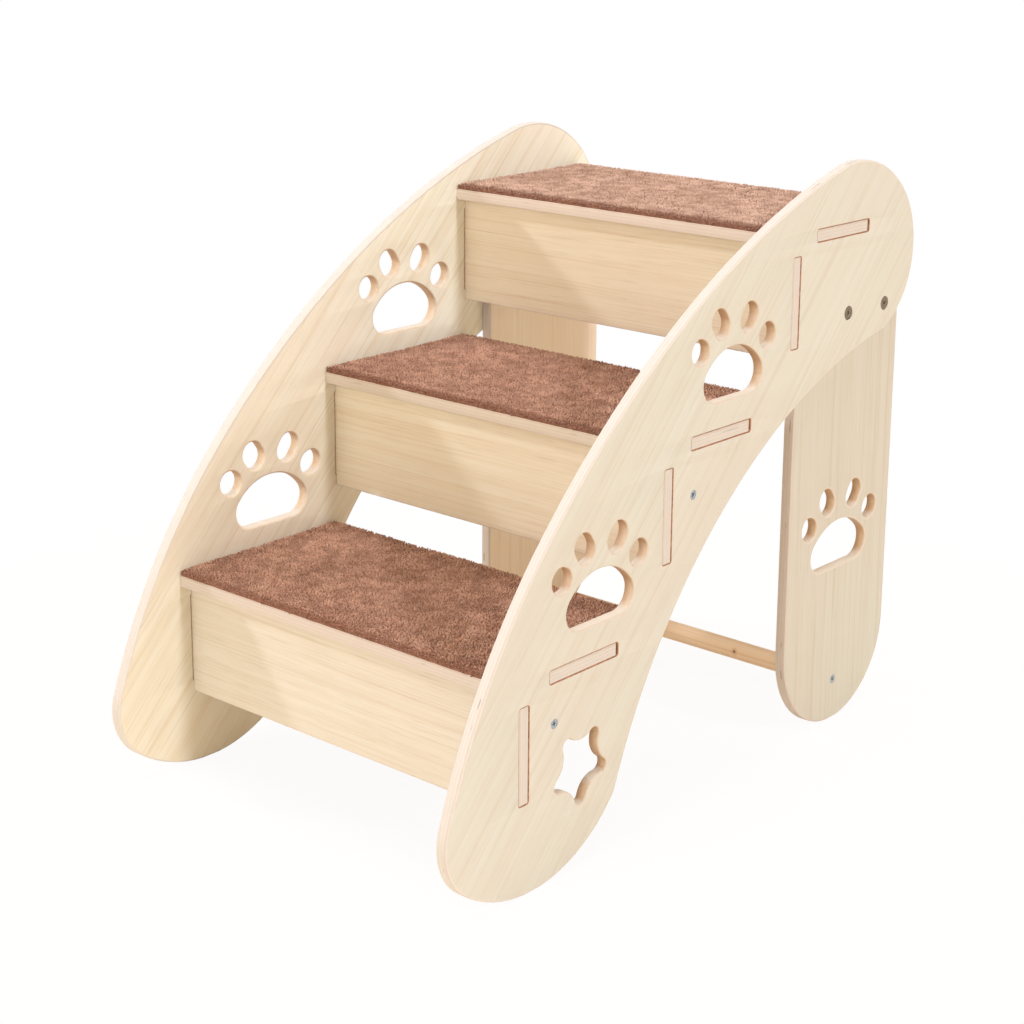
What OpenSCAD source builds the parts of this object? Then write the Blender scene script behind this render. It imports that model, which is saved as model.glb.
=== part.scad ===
// Pet stairs: three carpeted steps held between two arched plywood side panels,
// with two straight legs behind them. X runs across the stairs, +Y to the rear
// and +Z up. The origin is on the floor, below the middle of the side panels.

/* [Stairs] */
// Overall width over the side panels
stair_w = 450; // [300:1:700]
// Thickness of all the plywood
ply_t = 12; // [9:0.5:15]
// Height of the lowest tread's top above the floor
first_rise = 203; // [190:1:225]
// Height from one tread's top to the next
rise = 172; // [160:1:185]
// Distance from one tread's front edge to the next
run = 200; // [190:1:225]

/* [Treads and risers] */
// Depth of a tread, front to back
tread_d = 220; // [200:1:240]
// Distance of the tread's mortise behind its front edge
tread_mortise_in = 53; // [40:1:65]
// Length of the tread's mortise in the side panel
tread_mortise_l = 95; // [60:1:105]
// Room left in the mortise behind the tread's tenon
tenon_play = 2.5; // [0:0.1:6]
// Height of a riser board
riser_h = 114; // [90:1:130]
// Distance of the riser's face behind the tread's front edge
riser_in = 13; // [4:1:25]
// Distance of the riser's mortise from its two ends
riser_mortise_in = 11; // [6:1:25]
// Clearance around the tenons
tenon_gap = 0.25; // [0.1:0.05:0.4]
// Distance from a tenon's end to the panel's outer face
tenon_sunk = 0.5; // [0.1:0.1:2]
// Corner radius of the mortises
mortise_r = 2; // [0.5:0.1:3]

/* [Carpets] */
// Depth of a carpet, front to back
carpet_d = 204; // [180:1:215]
// Thickness of a carpet with its pile
carpet_t = 7.5; // [4:0.5:12]
// Clearance between a carpet and each side panel
carpet_gap = 0.4; // [0.2:0.1:3]
// Radius of a carpet's upper edges
carpet_edge_r = 2.5; // [1:0.5:4]

/* [Side panels] */
// Radius of the round foot
foot_r = 145; // [138:1:152]
// Distance of the foot's lowest point behind the lowest tread's front edge
foot_in = 32.5; // [22:0.5:42]
// Radius of the toe in front of the foot
toe_r = 61.5; // [50:0.5:75]
// Direction from the foot's centre to the toe's centre
toe_a = 232; // [226:1:238]
// Radius of the front edge's lower sweep
sweep_low_r = 637.5; // [610:0.5:665]
// Direction from the lower sweep's centre to the toe's centre
sweep_low_a = 162; // [160:0.5:164]
// Direction in which the lower sweep hands over to the upper one
sweep_a = 139; // [136:0.5:142]
// Radius of the crown over the top step
crown_r = 120; // [112:1:128]
// Distance of the crown's centre behind the top tread's front edge
crown_in = 128.6; // [118:0.1:138]
// Depth of the crown's centre below the top tread's top
crown_drop = 58.3; // [50:0.1:66]
// Radius of the shoulder behind the crown
shoulder_r = 91; // [80:1:100]
// Direction from the crown's centre to the shoulder's centre
shoulder_a = 44.5; // [38:0.5:50]
// Radius of the arch under the stairs
arch_r = 578.7; // [565:0.1:590]
// Distance of the arch's centre behind the middle tread's front edge
arch_in = 490.5; // [482:0.5:500]
// Depth of the arch's centre below the middle tread's top
arch_drop = 518; // [505:0.5:530]
// Depth of the flat that the feet stand on, cut from their round ends
foot_flat = 0.4; // [0.1:0.1:2]

/* [Legs] */
// Width of a leg
leg_w = 192; // [150:1:200]
// Distance of the leg's middle behind the top tread's front edge
leg_in = 137.5; // [130:0.5:140]
// Room between the leg's round top and the tread above it
leg_gap = 8; // [3:0.5:20]

/* [Cut-outs] */
// Width of a paw's pad in the side panels
pad_w = 95; // [80:1:105]
// Height of a paw's pad
pad_h = 51; // [40:1:56]
// Radius of the pad's lower corners
pad_r = 18.5; // [12:0.5:22]
// Distance of the outer toes from the paw's middle
toe_out = 54; // [46:0.5:60]
// Distance of the inner toes from the paw's middle
toe_mid = 23; // [18:0.5:28]
// Height of the outer toes above the pad's lower edge
toe_out_up = 52.5; // [50:0.5:60]
// Height of the inner toes above the pad's lower edge
toe_mid_up = 75; // [70:0.5:85]
// Length of an outer toe
toe_out_l = 27; // [22:0.5:30]
// Length of an inner toe
toe_mid_l = 31; // [26:0.5:34]
// Width of a toe
toe_w = 25; // [18:0.5:26]
// Outward lean of the outer toes
toe_out_lean = 65; // [40:1:80]
// Outward lean of the inner toes
toe_mid_lean = 34; // [15:1:45]
// Height of a panel paw's pad above the tread below it
paw_up = 27; // [20:0.5:40]
// Distance of the lower panel paw's middle behind the lowest tread's front edge
low_paw_in = 122.5; // [115:0.5:130]
// Distance of the upper panel paw's middle behind the middle tread's front edge
high_paw_in = 118; // [112:0.5:126]
// How much wider the legs' paws are than the panels' paws
leg_paw_wider = 9; // [0:0.5:15]
// Height of the leg paw's pad above the floor
leg_paw_h = 174.5; // [120:0.5:240]
// Distance of the star's middle behind the lowest tread's front edge
star_in = 98; // [92:0.5:104]
// Height of the star's middle above the floor
star_h = 98; // [92:0.5:104]
// Radius of the star over its points
star_tip = 38; // [35:0.5:42]
// Radius of the star at its hollows
star_hollow = 26; // [22:0.5:27.5]
// Radius of the star's rounded points
star_tip_r = 7; // [4:0.5:9]

/* [Dowels] */
// Diameter of the dowel between the legs
leg_dowel_d = 21; // [16:0.5:28]
// Height of the leg dowel's axis above the floor
leg_dowel_h = 45; // [30:0.5:70]
// Diameter of the two dowels hidden behind the risers
tie_dowel_d = 20; // [14:0.5:24]
// Distance of the lower hidden dowel's axis behind the lowest tread's front edge
low_tie_in = 59.6; // [50:0.1:70]
// Depth of the lower hidden dowel's axis below the lowest tread's top
low_tie_drop = 51.2; // [40:0.1:58]
// Distance of the upper hidden dowel's axis behind the middle tread's front edge
high_tie_in = 57.9; // [50:0.1:70]
// Depth of the upper hidden dowel's axis below the middle tread's top
high_tie_drop = 56.3; // [40:0.1:62]

/* [Screws] */
// Diameter of a dowel screw's shank
screw_d = 4; // [3:0.1:5]
// Length of a dowel screw
screw_l = 40; // [32:1:50]
// Diameter of a dowel screw's head
screw_head_d = 9.6; // [8:0.1:11]
// Depth of a dowel screw's head below the wood
screw_sunk = 0.3; // [0:0.1:1]
// Length of the screw's point
screw_tip_l = 5; // [3:0.5:8]
// Diameter of the screw's blunt tip
screw_tip_d = 0.8; // [0.4:0.1:1.5]
// Width of the recess's slots in the screw head
screw_slot_w = 1.1; // [0.8:0.1:1.4]
// Length of the recess's slots in the screw head
screw_slot_l = 5; // [3.5:0.1:6]
// Depth of the recess in the screw head
screw_slot_deep = 1.6; // [1:0.1:2.2]
// Clearance around a screw's shank in the panel and in the dowel
screw_gap = 0.1; // [0.05:0.05:0.4]

/* [Connector bolts] */
// Distance between the two bolts of a leg
bolt_pitch = 69.6; // [50:0.2:80]
// Distance of the bolts' middle behind the leg's middle
bolt_in = 13.5; // [5:0.5:20]
// Depth of the bolts below the top tread's top
bolt_drop = 93.2; // [80:0.2:100]
// Diameter of a bolt's shank
bolt_d = 6; // [5:0.1:6.5]
// Diameter of the bolt's and the nut's heads
bolt_head_d = 14.4; // [12:0.1:16]
// Thickness of the bolt's and the nut's heads
bolt_head_t = 2.2; // [1.5:0.1:3]
// Depth of the bolt's head below the panel's face
bolt_sunk = 0.3; // [0.1:0.1:1]
// Diameter of the sleeve nut's barrel
nut_d = 8.4; // [8:0.1:9.5]
// Room between the barrel's end and the side panel
nut_room = 1.5; // [0.5:0.1:3]
// Width across the flats of the hexagon sockets
socket_w = 4; // [3:0.1:5]
// Depth of the hexagon sockets
socket_deep = 1.8; // [1:0.1:2.1]
// Clearance around bolts, nuts and their heads
bolt_gap = 0.3; // [0.1:0.05:0.5]
// Clearance around the bolt inside the nut
thread_gap = 0.05; // [0.03:0.01:0.1]

/* [Hidden] */
$fn = 96;

// How far a cut runs past the faces that it opens
overrun = 2;
// How far the smaller of two arcs that hand over to each other stands proud
lap = 0.02;

// Colours of the materials
wood_colour = "#ecd9b6";
carpet_colour = "#8f6250";
steel_colour = "#b9bdbf";
bronze_colour = "#80614a";

// Places across the stairs, from the middle plane
panel_out = stair_w / 2;
panel_in = panel_out - ply_t;
leg_face = panel_in - ply_t;

// Places of the three steps in the side view, with y from the lowest tread's front
function tread_y(step) = step * run;
function tread_z(step) = first_rise + step * rise;
function under_z(step) = tread_z(step) - ply_t;

// Geometry of the side view
function toward(angle) = [cos(angle), sin(angle)];
function bearing(a, b) = atan2(b[1] - a[1], b[0] - a[0]);
// Radius of the circle that passes a point in a direction and touches a smaller circle inside it
function touching_r(point, angle, centre, r) =
    let (way = point - centre)
    (way * way - r * r) / (2 * (way * toward(angle) - r));

// Centres of the side panel's arcs, each touching the next one from inside
foot_c = [foot_in, foot_r - foot_flat];
toe_c = foot_c + (foot_r - toe_r) * toward(toe_a);
sweep_low_c = toe_c - (sweep_low_r - toe_r) * toward(sweep_low_a);
crown_c = [tread_y(2) + crown_in, tread_z(2) - crown_drop];
sweep_end = sweep_low_c + sweep_low_r * toward(sweep_a);
sweep_up_r = touching_r(sweep_end, sweep_a, crown_c, crown_r);
sweep_up_c = sweep_end - sweep_up_r * toward(sweep_a);
crown_a = bearing(sweep_up_c, crown_c);
// A place inside the panel, below the point where the sweeps hand over
waist = sweep_end - toe_r * toward(sweep_a);
shoulder_c = crown_c + (crown_r - shoulder_r) * toward(shoulder_a);
arch_c = [tread_y(1) + arch_in, tread_z(1) - arch_drop];

// Of the two sweeps the tighter one stands proud, and runs on inside the other
spread_a = 15;
low_spread_a = sweep_low_r < sweep_up_r ? spread_a : 0;
low_lap = sweep_low_r < sweep_up_r ? lap : 0;

// The middle of the side panels, which is the part's origin
middle_y = (toe_c[0] - toe_r + shoulder_c[0] + shoulder_r) / 2;

// Places of the panel paws' pads in the side view
paw_places = [
    [tread_y(0) + low_paw_in, tread_z(0) + paw_up],
    [tread_y(1) + high_paw_in, tread_z(1) + paw_up]
];

// Legs and what is on their middle line
leg_y = tread_y(2) + leg_in;
leg_r = leg_w / 2;
leg_top_z = under_z(2) - leg_gap;
bolt_z = tread_z(2) - bolt_drop;

// Fasteners
screw_head_h = (screw_head_d - screw_d) / 2;
pilot_l = screw_l - ply_t + overrun;
bolt_seat = bolt_head_t + bolt_sunk;
nut_l = ply_t - nut_room;
bolt_end = leg_face + bolt_head_t;

// Directions of the star's points, the first one straight down
star_a = [for (i = [0:4]) -90 + 72 * i];
half_star_a = 36;
// Radius of the star's hollows, which touch the rounded points on both sides
star_point_c = star_tip - star_tip_r;
star_hollow_r = (star_point_c * star_point_c + star_hollow * star_hollow
                 - 2 * star_point_c * star_hollow * cos(half_star_a) - star_tip_r * star_tip_r)
                / (2 * (star_tip_r - star_hollow + star_point_c * cos(half_star_a)));
star_hollow_c = star_hollow + star_hollow_r;

// Stands its children, drawn in the side view, up as a plate between two places on X
module plate(x_from, x_to) {
    translate([x_from, -middle_y, 0])
        rotate([90, 0, 90])
            linear_extrude(x_to - x_from)
                children();
}

// Lays its children's Z axis along X, at a place in the side view
module across(x, place) {
    translate([x, place[0] - middle_y, place[1]])
        rotate([0, 90, 0])
            children();
}

// A disc in the side view
module disc(centre, r) {
    translate(centre)
        circle(r, $fn = 360);
}

// The part of a disc between two directions, at most half a turn apart
module sector(centre, r, from, to) {
    far = 2 * r;
    turn = (to - from) / 3;
    intersection() {
        disc(centre, r);
        polygon([centre, for (i = [0:3]) centre + far * toward(from + i * turn)]);
    }
}

// The outer part of a large disc between two directions, as deep as the foot's radius
module rim(centre, r, from, to) {
    turn = (to - from) / 3;
    intersection() {
        disc(centre, r);
        polygon([
            for (i = [0:3]) centre + 2 * r * toward(from + i * turn),
            for (i = [3:-1:0]) centre + (r - foot_r) * toward(from + i * turn)
        ]);
    }
}

// A rectangle with round corners, from its lower front corner
module rounded_box(corner, size, r) {
    translate(corner) {
        translate([r, 0])
            square([size[0] - 2 * r, size[1]]);
        translate([0, r])
            square([size[0], size[1] - 2 * r]);
        for (y = [r, size[0] - r], z = [r, size[1] - r])
            disc([y, z], r);
    }
}

// A slot with round ends
module slot(centre, l, w, lean) {
    reach = l / 2 - w / 2;
    translate(centre)
        rotate(lean) {
            square([2 * reach, w], center = true);
            for (end = [-reach, reach])
                disc([end, 0], w / 2);
        }
}

// Paw print: a pad with a domed top and four toes that lean outward
module paw(place, wider) {
    corner = [(pad_w + wider) / 2 - pad_r, pad_r];
    drop = pad_h - pad_r;
    dome_r = (corner[0] * corner[0] + drop * drop - pad_r * pad_r) / (2 * (drop - pad_r));
    dome_c = [0, pad_h - dome_r];
    side_a = bearing(dome_c, corner);
    other = [-corner[0], corner[1]];
    translate(place) {
        disc(corner, pad_r);
        disc(other, pad_r);
        translate([other[0], lap])
            square([2 * corner[0], pad_r]);
        intersection() {
            disc(dome_c, dome_r - lap);
            polygon([
                corner,
                corner + 2 * pad_w * toward(side_a),
                other + 2 * pad_w * toward(180 - side_a),
                other
            ]);
        }
        for (side = [-1, 1]) {
            slot([side * (toe_out + wider * 2 / 5), toe_out_up], toe_out_l, toe_w, 90 - side * toe_out_lean);
            slot([side * (toe_mid + wider / 4), toe_mid_up], toe_mid_l, toe_w, 90 - side * toe_mid_lean);
        }
    }
}

// Five-pointed star with rounded points and hollows, one point down
module star(place) {
    translate(place)
        difference() {
            union() {
                polygon([for (a = star_a) each [
                    star_point_c * toward(a),
                    star_hollow_c * toward(a + half_star_a)
                ]]);
                for (a = star_a)
                    disc(star_point_c * toward(a), star_tip_r);
            }
            for (a = star_a)
                disc(star_hollow_c * toward(a + half_star_a), star_hollow_r + lap);
        }
}

// Holes in a side panel for the tenons of one tread and its riser
module mortises(step) {
    rounded_box([tread_y(step) + tread_mortise_in, under_z(step) - tenon_gap],
                [tread_mortise_l, ply_t + 2 * tenon_gap], mortise_r);
    rounded_box([tread_y(step) + riser_in - tenon_gap, under_z(step) - riser_h + riser_mortise_in],
                [ply_t + 2 * tenon_gap, riser_h - 2 * riser_mortise_in], mortise_r);
}

// Side view of a side panel, without the holes of its fasteners
module panel_outline() {
    difference() {
        union() {
            polygon([toe_c, foot_c - [0, foot_r / 8], arch_c, shoulder_c, crown_c, waist]);
            disc(shoulder_c, shoulder_r + 3 * lap);
            sector(crown_c, crown_r + 2 * lap, shoulder_a, shoulder_a + 180);
            rim(sweep_up_c, sweep_up_r + lap - low_lap, crown_a, sweep_a + spread_a - low_spread_a);
            rim(sweep_low_c, sweep_low_r + low_lap, sweep_a - low_spread_a, sweep_low_a);
            disc(toe_c, toe_r + 2 * lap);
            sector(foot_c, foot_r, toe_a, toe_a + 180);
        }
        disc(arch_c, arch_r);
        translate([foot_in - foot_r, -foot_r])
            square([2 * foot_r, foot_r]);
        for (step = [0:2])
            mortises(step);
        for (step = [0:1])
            paw(paw_places[step], 0);
        star([star_in, star_h]);
    }
}

// Places of the hidden dowels and of the leg bolts in the side view
tie_places = [
    [tread_y(0) + low_tie_in, tread_z(0) - low_tie_drop],
    [tread_y(1) + high_tie_in, tread_z(1) - high_tie_drop]
];
bolt_places = [for (side = [-1, 1]) [leg_y + bolt_in + side * bolt_pitch / 2, bolt_z]];
leg_dowel_place = [leg_y, leg_dowel_h];

// Hole for a countersunk screw, its face at the origin and the wood below it
module screw_hole(wood_t) {
    hole_r = screw_d / 2 + screw_gap;
    head_r = screw_head_d / 2 + screw_gap;
    translate([0, 0, -wood_t - overrun])
        cylinder(h = wood_t + 2 * overrun, r = hole_r);
    translate([0, 0, -screw_sunk - (head_r - hole_r)])
        cylinder(h = head_r - hole_r, r1 = hole_r, r2 = head_r);
    translate([0, 0, -screw_sunk])
        cylinder(h = screw_sunk + overrun, r = head_r);
}

// Countersunk screw with a cross recess, its head's face at the origin
module screw() {
    difference() {
        union() {
            translate([0, 0, -screw_head_h])
                cylinder(h = screw_head_h, d1 = screw_d, d2 = screw_head_d);
            translate([0, 0, screw_tip_l - screw_l])
                cylinder(h = screw_l - screw_tip_l - screw_head_h, d = screw_d);
            translate([0, 0, -screw_l])
                cylinder(h = screw_tip_l, d1 = screw_tip_d, d2 = screw_d);
        }
        for (turn = [0, 90])
            rotate([0, 0, turn])
                translate([-screw_slot_l / 2, -screw_slot_w / 2, -screw_slot_deep])
                    cube([screw_slot_l, screw_slot_w, screw_slot_deep + overrun]);
    }
}

// Round rod between two places on X, with a pilot hole for a screw in each end
module dowel(half_l, d, place) {
    color(wood_colour)
        difference() {
            across(-half_l, place)
                cylinder(h = 2 * half_l, d = d);
            for (side = [0, 1])
                mirror([side, 0, 0])
                    across(half_l - pilot_l, place)
                        cylinder(h = pilot_l + overrun, r = screw_d / 2 + screw_gap);
        }
}

// A side panel on the +X side
module panel() {
    color(wood_colour)
        difference() {
            plate(panel_in, panel_out)
                panel_outline();
            for (place = tie_places)
                across(panel_out, place)
                    screw_hole(ply_t);
            for (place = bolt_places) {
                across(panel_in - overrun, place)
                    cylinder(h = ply_t + 2 * overrun, r = bolt_d / 2 + bolt_gap);
                across(panel_out - bolt_seat, place)
                    cylinder(h = bolt_seat + overrun, r = bolt_head_d / 2 + bolt_gap);
            }
        }
}

// A leg on the +X side, against the side panel's inner face
module leg() {
    color(wood_colour)
        difference() {
            plate(leg_face, panel_in)
                difference() {
                    union() {
                        disc([leg_y, leg_top_z - leg_r], leg_r);
                        translate([leg_y - leg_r, leg_r - foot_flat])
                            square([leg_w, leg_top_z + foot_flat - leg_w]);
                        disc([leg_y, leg_r - foot_flat], leg_r);
                    }
                    translate([leg_y - leg_r, -leg_r])
                        square([leg_w, leg_r]);
                    paw([leg_y, leg_paw_h], leg_paw_wider);
                }
            across(panel_in, leg_dowel_place)
                screw_hole(ply_t);
            for (place = bolt_places)
                across(leg_face - overrun, place)
                    cylinder(h = ply_t + 2 * overrun, r = nut_d / 2 + bolt_gap);
        }
}

// A tread with a tenon at each end
module tread(step) {
    color(wood_colour) {
        tenon_x = panel_out - tenon_sunk;
        translate([-panel_in, tread_y(step) - middle_y, under_z(step)])
            cube([2 * panel_in, tread_d, ply_t]);
        plate(-tenon_x, tenon_x)
            rounded_box([tread_y(step) + tread_mortise_in + tenon_gap, under_z(step)],
                        [tread_mortise_l - tenon_gap - tenon_play, ply_t], mortise_r - tenon_gap);
    }
}

// A riser with a tenon at each end, under the front of its tread
module riser(step) {
    color(wood_colour) {
        tenon_x = panel_out - tenon_sunk;
        tenon_in = riser_mortise_in + tenon_gap;
        bottom_z = under_z(step) - riser_h;
        translate([-panel_in, tread_y(step) + riser_in - middle_y, bottom_z])
            cube([2 * panel_in, ply_t, riser_h]);
        plate(-tenon_x, tenon_x)
            rounded_box([tread_y(step) + riser_in, bottom_z + tenon_in],
                        [ply_t, riser_h - 2 * tenon_in], mortise_r - tenon_gap);
    }
}

// A carpet on a tread, with rounded upper edges in front and behind
module carpet(step) {
    half_w = panel_in - carpet_gap;
    front = tread_y(step);
    bottom = tread_z(step);
    edge_z = bottom + carpet_t - carpet_edge_r;
    color(carpet_colour)
        plate(-half_w, half_w) {
            translate([front, bottom])
                square([carpet_d, carpet_t - carpet_edge_r]);
            translate([front + carpet_edge_r, bottom])
                square([carpet_d - 2 * carpet_edge_r, carpet_t]);
            for (y = [front + carpet_edge_r, front + carpet_d - carpet_edge_r])
                disc([y, edge_z], carpet_edge_r);
        }
}

// Screws through both side panels into the hidden dowels
module panel_screws() {
    color(steel_colour)
        for (side = [0, 1], place = tie_places)
            mirror([side, 0, 0])
                across(panel_out - screw_sunk, place)
                    screw();
}

// Screws through both legs into the dowel between them
module leg_screws() {
    color(steel_colour)
        for (side = [0, 1])
            mirror([side, 0, 0])
                across(panel_in - screw_sunk, leg_dowel_place)
                    screw();
}

// Hexagon socket in a fastener's head, which faces +Z at the origin
module hex_socket() {
    translate([0, 0, -socket_deep])
        cylinder(h = socket_deep + overrun, d = socket_w / cos(30), $fn = 6);
}

// Flat-headed connector bolts from outside each side panel
module leg_bolts() {
    bolt_l = panel_out - bolt_sunk - bolt_end;
    color(bronze_colour)
        for (side = [0, 1], place = bolt_places)
            mirror([side, 0, 0])
                across(panel_out - bolt_sunk, place)
                    difference() {
                        union() {
                            translate([0, 0, -bolt_head_t])
                                cylinder(h = bolt_head_t, d = bolt_head_d);
                            translate([0, 0, -bolt_l])
                                cylinder(h = bolt_l - bolt_head_t, d = bolt_d);
                        }
                        hex_socket();
                    }
}

// Sleeve nuts from inside each leg, one for each connector bolt
module leg_nuts() {
    color(bronze_colour)
        for (side = [0, 1], place = bolt_places)
            mirror([side, 0, 0])
                across(leg_face, place)
                    difference() {
                        union() {
                            translate([0, 0, -bolt_head_t])
                                cylinder(h = bolt_head_t, d = bolt_head_d);
                            cylinder(h = nut_l, d = nut_d);
                        }
                        cylinder(h = nut_l + overrun, r = bolt_d / 2 + thread_gap);
                        translate([0, 0, -bolt_head_t])
                            mirror([0, 0, 1])
                                hex_socket();
                    }
}

module left_panel() { mirror([1, 0, 0]) panel(); }
module right_panel() { panel(); }
module bottom_tread() { tread(0); }
module middle_tread() { tread(1); }
module top_tread() { tread(2); }
module bottom_riser() { riser(0); }
module middle_riser() { riser(1); }
module top_riser() { riser(2); }
module bottom_carpet() { carpet(0); }
module middle_carpet() { carpet(1); }
module top_carpet() { carpet(2); }
module left_leg() { mirror([1, 0, 0]) leg(); }
module right_leg() { leg(); }
module leg_dowel() { dowel(leg_face, leg_dowel_d, leg_dowel_place); }
module lower_tie_dowel() { dowel(panel_in, tie_dowel_d, tie_places[0]); }
module upper_tie_dowel() { dowel(panel_in, tie_dowel_d, tie_places[1]); }

left_panel();
right_panel();
bottom_tread();
middle_tread();
top_tread();
bottom_riser();
middle_riser();
top_riser();
bottom_carpet();
middle_carpet();
top_carpet();
left_leg();
right_leg();
leg_dowel();
lower_tie_dowel();
upper_tie_dowel();
panel_screws();
leg_screws();
leg_bolts();
leg_nuts();
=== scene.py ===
# Pet stairs: three carpeted plywood steps between two arched side panels, with two legs behind.
# Metres, X to the right, Y to the rear, Z up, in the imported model's own frame.
import math
import random
import bpy
import bmesh
from mathutils import Matrix, Vector
from mathutils.geometry import tessellate_polygon


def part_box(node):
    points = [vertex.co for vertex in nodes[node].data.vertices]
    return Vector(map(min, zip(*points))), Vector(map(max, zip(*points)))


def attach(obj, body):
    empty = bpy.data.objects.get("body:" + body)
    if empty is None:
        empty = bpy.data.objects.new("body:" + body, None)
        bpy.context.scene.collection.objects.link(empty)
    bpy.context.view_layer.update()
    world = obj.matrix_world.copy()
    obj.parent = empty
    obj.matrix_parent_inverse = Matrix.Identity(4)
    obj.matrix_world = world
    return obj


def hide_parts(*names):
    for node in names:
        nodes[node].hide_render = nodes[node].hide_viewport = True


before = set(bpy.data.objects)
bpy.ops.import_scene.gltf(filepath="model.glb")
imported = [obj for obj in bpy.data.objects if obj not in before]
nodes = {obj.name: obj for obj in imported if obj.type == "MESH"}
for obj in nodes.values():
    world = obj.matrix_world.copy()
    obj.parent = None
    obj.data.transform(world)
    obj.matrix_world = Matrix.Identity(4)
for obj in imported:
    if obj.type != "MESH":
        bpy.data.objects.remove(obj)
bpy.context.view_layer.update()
mm = 0.001
quarterTurn = math.pi / 2
white = (1, 1, 1, 1)
print("frame loaded:", len(nodes), "nodes")


def colour(red, green, blue):  # a colour as a screen shows it, 0 to 255
    parts = [part / 255 for part in (red, green, blue)]
    return tuple(p / 12.92 if p <= 0.04045 else ((p + 0.055) / 1.055) ** 2.4 for p in parts) + (1.0,)


class Wire:  # a socket; an expression on wires adds its Math nodes
    def __init__(self, graph, socket):
        self.graph, self.socket = graph, socket

    def sibling(self, name):  # another output of the same node
        return Wire(self.graph, self.socket.node.outputs[name])

    def __add__(self, other):
        return self.graph.maths("ADD", self, other)

    def __radd__(self, other):
        return self.graph.maths("ADD", other, self)

    def __sub__(self, other):
        return self.graph.maths("SUBTRACT", self, other)

    def __rsub__(self, other):
        return self.graph.maths("SUBTRACT", other, self)

    def __mul__(self, other):
        return self.graph.maths("MULTIPLY", self, other)

    def __rmul__(self, other):
        return self.graph.maths("MULTIPLY", other, self)


class Graph:  # a tree, built node by node
    def __init__(self, tree):
        self.tree = tree
        tree.nodes.clear()

    # An input is found by its number, name or identifier, and gets a value or a wire
    def add(self, kind, settings=None, sockets=None, out=None):
        made = self.tree.nodes.new(kind)
        for key, value in (settings or {}).items():
            setattr(made, key, value)
        for key, value in (sockets or {}).items():
            if isinstance(key, int):
                socket = made.inputs[key]
            else:
                socket = next(s for s in made.inputs if s.enabled and key in (s.identifier, s.name))
            if isinstance(value, Wire):
                self.tree.links.new(value.socket, socket)
            else:
                socket.default_value = value
        given = [s for s in made.outputs if s.enabled and out in (None, s.name)]
        return Wire(self, given[0]) if given else None

    def maths(self, operation, *values):
        return self.add("ShaderNodeMath", {"operation": operation}, dict(enumerate(values)))

    def vectors(self, operation, *values):
        return self.add("ShaderNodeVectorMath", {"operation": operation}, dict(enumerate(values)))

    def seen(self):  # 1 for the camera and for what reflects or lets light through
        camera = self.add("ShaderNodeLightPath", out="Is Camera Ray")
        mirrored = self.maths("MAXIMUM", camera, camera.sibling("Is Glossy Ray"))
        return self.maths("MAXIMUM", mirrored, camera.sibling("Is Transmission Ray"))


class Finish(Graph):  # one material
    def __init__(self, name):
        self.material = bpy.data.materials.new(name)
        self.material.use_nodes = True
        Graph.__init__(self, self.material.node_tree)

    def place(self):
        return self.add("ShaderNodeTexCoord", out="Object")

    def attribute(self, name):
        settings = {"attribute_type": "GEOMETRY", "attribute_name": name}
        return self.add("ShaderNodeAttribute", settings, out="Fac")

    def axes(self, vector):
        x = self.add("ShaderNodeSeparateXYZ", None, {0: vector})
        return x, x.sibling("Y"), x.sibling("Z")

    def noise(self, place, scale, detail=2, roughness=0.5):
        return self.add("ShaderNodeTexNoise", {"noise_dimensions": "3D"},
                        {"Vector": self.vectors("MULTIPLY", place, scale), "Scale": 1.0,
                         "Detail": detail, "Roughness": roughness})

    def span(self, value, low, high, start=0.0, end=1.0):
        return self.add("ShaderNodeMapRange", {"interpolation_type": "SMOOTHSTEP", "clamp": True},
                        {"Value": value, "From Min": low, "From Max": high, "To Min": start, "To Max": end})

    # A layer of marks, from 0 to 1. "marks" holds how fine they are along X, Y and Z, the noise's detail
    # and roughness, and the noise at which they start and are full.
    def layer(self, place, marks, fine=1):
        (x, y, z), detail, roughness, low, high = marks
        return self.span(self.noise(place, (x * fine, y, z * fine), detail, roughness), low, high)

    def mix(self, share, first, second, blend="MIX"):
        return self.add("ShaderNodeMix", {"data_type": "RGBA", "blend_type": blend, "clamp_factor": True},
                        {"Factor_Float": share, "A_Color": first, "B_Color": second})

    def bump(self, height, depth):
        return self.add("ShaderNodeBump", None, {"Height": height, "Distance": depth, "Strength": 1.0})

    def finish(self, **sockets):
        named = {key.replace("_", " "): value for key, value in sockets.items()}
        shader = self.add("ShaderNodeBsdfPrincipled", None, named)
        self.add("ShaderNodeOutputMaterial", None, {"Surface": shader})
        return self.material


veneerLook = {
    "grainLean": math.radians(47),    # the panels' grain, up from the floor
    "light": colour(248, 237, 217),
    "mid": colour(240, 224, 198),
    "streak": colour(218, 190, 155),
    "pore": colour(192, 158, 126),
    "warm": colour(248, 228, 208),
    "sway": 0.010,
    "swayFine": (4, 1.6, 4),
    "bands": ((60, 1.1, 60), 3, 0.6, 0.35, 0.68),
    "lines": ((230, 1.3, 230), 3, 0.6, 0.50, 0.70),
    "hair": ((800, 9, 800), 2, 0.6, 0.48, 0.75),
    "pores": ((1300, 20, 1300), 1, 0.5, 0.60, 0.78),
    "tone": ((7, 2.5, 7), 1, 0.5, 0.35, 0.7),
    "bandShare": 0.55, "toneShare": 0.5, "lineShare": 0.27, "hairShare": 0.20, "poreShare": 0.18,
    "paintedLightFade": (0.22, 0.46),        # heights between which a tint changes to a lighter one: painted light higher up
    "roughness": 0.52, "lineRoughness": 0.1,
    "bumpDepth": 0.00012, "lineDeep": 0.6, "hairDeep": 0.5,
}
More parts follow.
